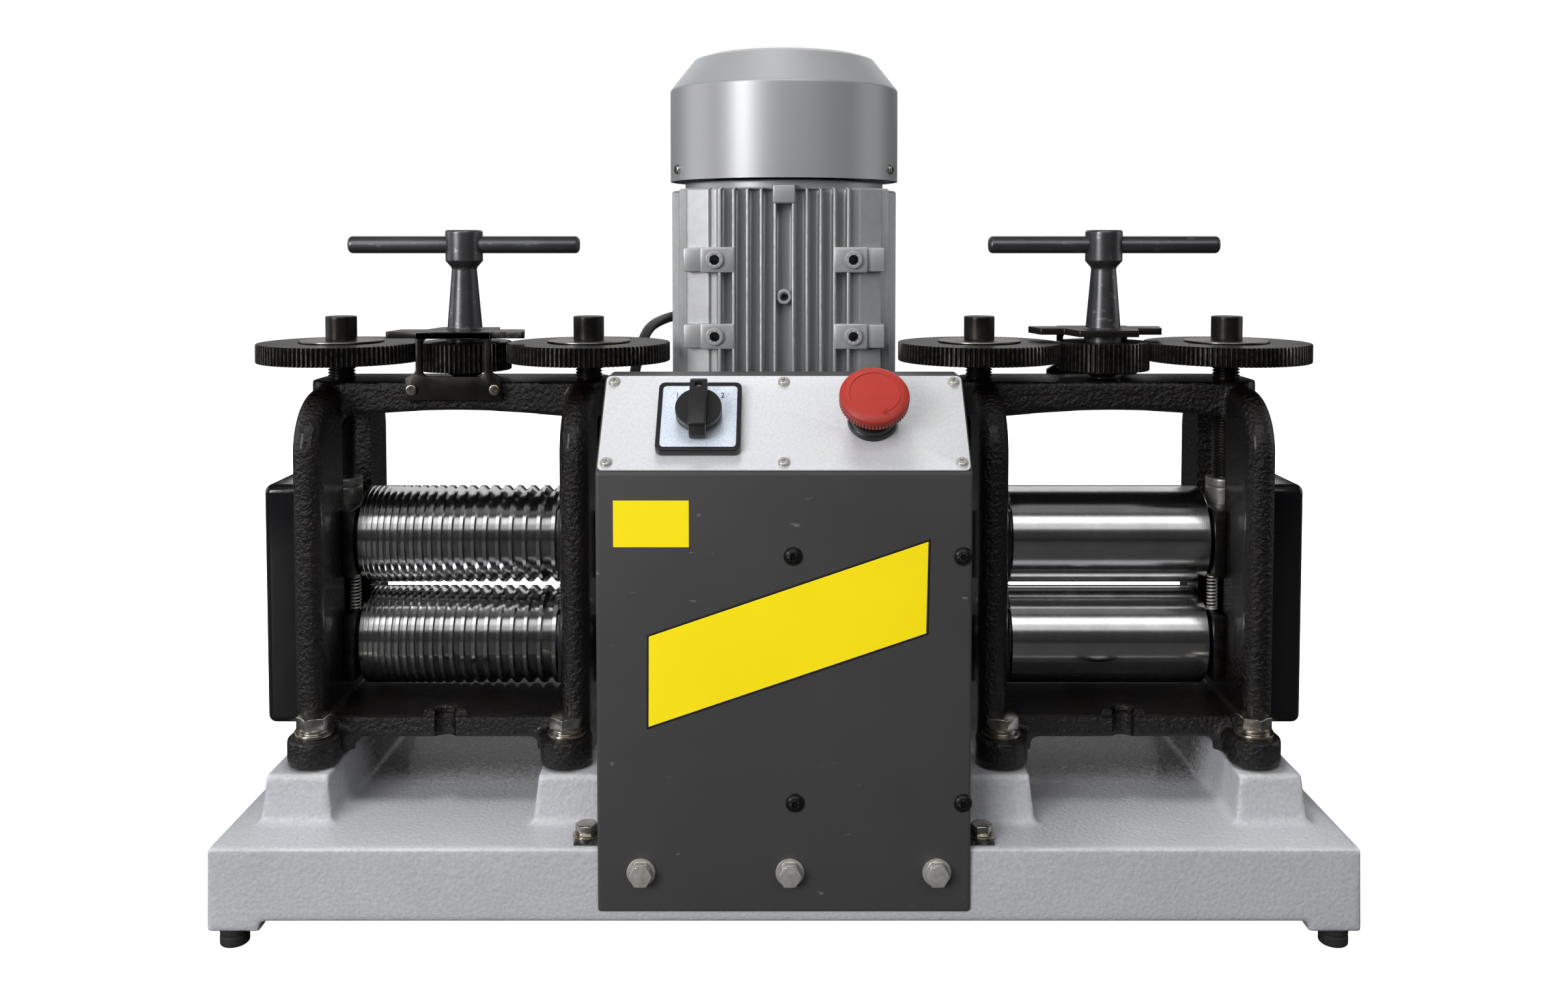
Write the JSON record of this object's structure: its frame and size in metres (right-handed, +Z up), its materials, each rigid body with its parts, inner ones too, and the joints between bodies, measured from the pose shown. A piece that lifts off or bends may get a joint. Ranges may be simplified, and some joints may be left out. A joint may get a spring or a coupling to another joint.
{
  "type": "motor driven double rolling mill",
  "caption": "Bench rolling mill with a grooved wire head and a plain sheet head, driven by a worm gear motor between them, on a cast base with a control panel.",
  "frame": {"origin": "on the bench, under the middle of the whole machine", "axes": "+X to the operator's right along the rolls, +Y to the back of the machine, +Z up; the operator stands at -Y"},
  "size_m": [0.7116, 0.3305, 0.551],
  "materials": {
    "base_paint": "light blue-grey hammer paint over cast iron",
    "foot_rubber": "matt black rubber",
    "frame_black": "glossy black paint over cast iron",
    "cover_black": "gloss black",
    "black_oxide": "black oxide, satin",
    "bearing_steel": "milled, oiled",
    "roll_steel": "hardened and polished",
    "gear_steel": "machined",
    "spring_steel": "bright wire",
    "gearbox_metal": "cast",
    "shaft_steel": "ground",
    "motor_paint": "silver-grey paint",
    "fan_plastic": "moulded",
    "cable_black": "smooth sheath",
    "cover_grey": "satin dark grey",
    "panel_metal": "pale satin",
    "black_plastic": "moulded",
    "red_plastic": "moulded"
  },
  "bodies": {
    "base": {"base_casting": "base_paint", "front_left_foot": "foot_rubber", "front_right_foot": "foot_rubber", "rear_left_foot": "foot_rubber", "rear_right_foot": "foot_rubber", "left_frame": "frame_black", "right_frame": "frame_black", "left_lower_outer_bearing": "bearing_steel", "left_lower_inner_bearing": "bearing_steel", "right_lower_outer_bearing": "bearing_steel", "right_lower_inner_bearing": "bearing_steel", "left_outer_spring": "spring_steel", "left_inner_spring": "spring_steel", "right_outer_spring": "spring_steel", "right_inner_spring": "spring_steel", "left_bracket": "black_oxide", "right_bracket": "black_oxide", "left_gear_cover": "cover_black", "right_gear_cover": "cover_black", "gearbox_housing": "gearbox_metal", "motor_housing": "motor_paint", "motor_cowl": "motor_paint", "terminal_box": "motor_paint", "motor_cable": "cable_black", "front_cover": "cover_grey", "control_panel": "panel_metal", "switch_plate": "black_plastic", "estop_collar": "black_plastic"},
    "drive_train": {"drive_shaft": "shaft_steel", "left_coupling": "shaft_steel", "right_coupling": "shaft_steel", "left_lower_roll": "roll_steel", "right_lower_roll": "roll_steel", "left_lower_roll_gear": "gear_steel", "right_lower_roll_gear": "gear_steel"},
    "rotor": {"motor_rotor": "fan_plastic"},
    "left_handle": {"left_handle_spindle": "black_oxide", "left_handle_bar": "black_oxide"},
    "left_carriage": {"left_upper_outer_bearing": "bearing_steel", "left_upper_inner_bearing": "bearing_steel"},
    "left_outer_spindle": {"left_outer_screw": "black_oxide", "left_outer_spindle_gear": "black_oxide"},
    "left_inner_spindle": {"left_inner_screw": "black_oxide", "left_inner_spindle_gear": "black_oxide"},
    "left_upper_roll_set": {"left_upper_roll": "roll_steel", "left_upper_roll_gear": "gear_steel"},
    "right_handle": {"right_handle_spindle": "black_oxide", "right_handle_bar": "black_oxide"},
    "right_carriage": {"right_upper_outer_bearing": "bearing_steel", "right_upper_inner_bearing": "bearing_steel"},
    "right_outer_spindle": {"right_outer_screw": "black_oxide", "right_outer_spindle_gear": "black_oxide"},
    "right_inner_spindle": {"right_inner_screw": "black_oxide", "right_inner_spindle_gear": "black_oxide"},
    "right_upper_roll_set": {"right_upper_roll": "roll_steel", "right_upper_roll_gear": "gear_steel"},
    "knob": {"switch_knob": "black_plastic"},
    "stop_stem": {"estop_stem": "black_plastic"},
    "stop_head": {"estop_head": "red_plastic"}
  },
  "joints": [
    {"name": "drive", "type": "hinge", "parent": "base", "child": "drive_train", "pos_m": [0, -0.0215, 0.1514], "axis": [1, 0, 0], "continuous": true},
    {"name": "rotor_turn", "type": "hinge", "parent": "base", "child": "rotor", "pos_m": [0, 0.0415, 0.3], "axis": [0, 0, 1], "continuous": true},
    {"name": "left_handle_turn", "type": "hinge", "parent": "base", "child": "left_handle", "pos_m": [-0.2165, -0.0215, 0.4], "axis": [0, 0, 1], "range_deg": [-1260, 480]},
    {"name": "left_lift", "type": "slide", "parent": "base", "child": "left_carriage", "axis": [0, 0, 1], "range_m": [-0.00389, 0.00148], "deforming": ["left_outer_spring", "left_inner_spring"]},
    {"name": "left_outer_screw_turn", "type": "hinge", "parent": "left_carriage", "child": "left_outer_spindle", "pos_m": [-0.3005, -0.0215, 0.3], "axis": [0, 0, 1], "range_deg": [-270, 705]},
    {"name": "left_inner_screw_turn", "type": "hinge", "parent": "left_carriage", "child": "left_inner_spindle", "pos_m": [-0.1325, -0.0215, 0.3], "axis": [0, 0, 1], "range_deg": [-270, 705]},
    {"name": "left_upper_roll_turn", "type": "hinge", "parent": "left_carriage", "child": "left_upper_roll_set", "pos_m": [-0.2165, -0.0215, 0.2206], "axis": [1, 0, 0], "continuous": true},
    {"name": "right_handle_turn", "type": "hinge", "parent": "base", "child": "right_handle", "pos_m": [0.2165, -0.0215, 0.4], "axis": [0, 0, 1], "range_deg": [-1260, 480]},
    {"name": "right_lift", "type": "slide", "parent": "base", "child": "right_carriage", "axis": [0, 0, 1], "range_m": [-0.00389, 0.00148], "deforming": ["right_outer_spring", "right_inner_spring"]},
    {"name": "right_outer_screw_turn", "type": "hinge", "parent": "right_carriage", "child": "right_outer_spindle", "pos_m": [0.3005, -0.0215, 0.3], "axis": [0, 0, 1], "range_deg": [-270, 705]},
    {"name": "right_inner_screw_turn", "type": "hinge", "parent": "right_carriage", "child": "right_inner_spindle", "pos_m": [0.1325, -0.0215, 0.3], "axis": [0, 0, 1], "range_deg": [-270, 705]},
    {"name": "right_upper_roll_turn", "type": "hinge", "parent": "right_carriage", "child": "right_upper_roll_set", "pos_m": [0.2165, -0.0215, 0.2206], "axis": [1, 0, 0], "continuous": true},
    {"name": "switch_turn", "type": "hinge", "parent": "base", "child": "knob", "pos_m": [-0.0504, -0.1325, 0.31125], "axis": [0, -0.7218, 0.6921], "range_deg": [-60, 60]},
    {"name": "stop_push", "type": "slide", "parent": "base", "child": "stop_stem", "axis": [0, -0.7218, 0.6921], "range_m": [-0.005, 0], "stiffness_N_per_m": 400, "springref_m": 0.002},
    {"name": "stop_twist", "type": "hinge", "parent": "stop_stem", "child": "stop_head", "pos_m": [0.0527, -0.1325, 0.31125], "axis": [0, -0.7218, 0.6921], "range_deg": [0, 45], "stiffness_Nm_per_rad": 0.02, "springref_deg": -5.73}
  ],
  "couplings": [
    {"joint": "rotor_turn", "follows": "drive", "ratio": 50},
    {"joint": "left_upper_roll_turn", "follows": "drive", "ratio": -1},
    {"joint": "right_upper_roll_turn", "follows": "drive", "ratio": -1},
    {"joint": "left_handle_turn", "follows": "left_lift", "rad_per_m": 5654.9},
    {"joint": "left_outer_screw_turn", "follows": "left_lift", "rad_per_m": -3141.6},
    {"joint": "left_inner_screw_turn", "follows": "left_lift", "rad_per_m": -3141.6},
    {"joint": "right_handle_turn", "follows": "right_lift", "rad_per_m": 5654.9},
    {"joint": "right_outer_screw_turn", "follows": "right_lift", "rad_per_m": -3141.6},
    {"joint": "right_inner_screw_turn", "follows": "right_lift", "rad_per_m": -3141.6}
  ]
}
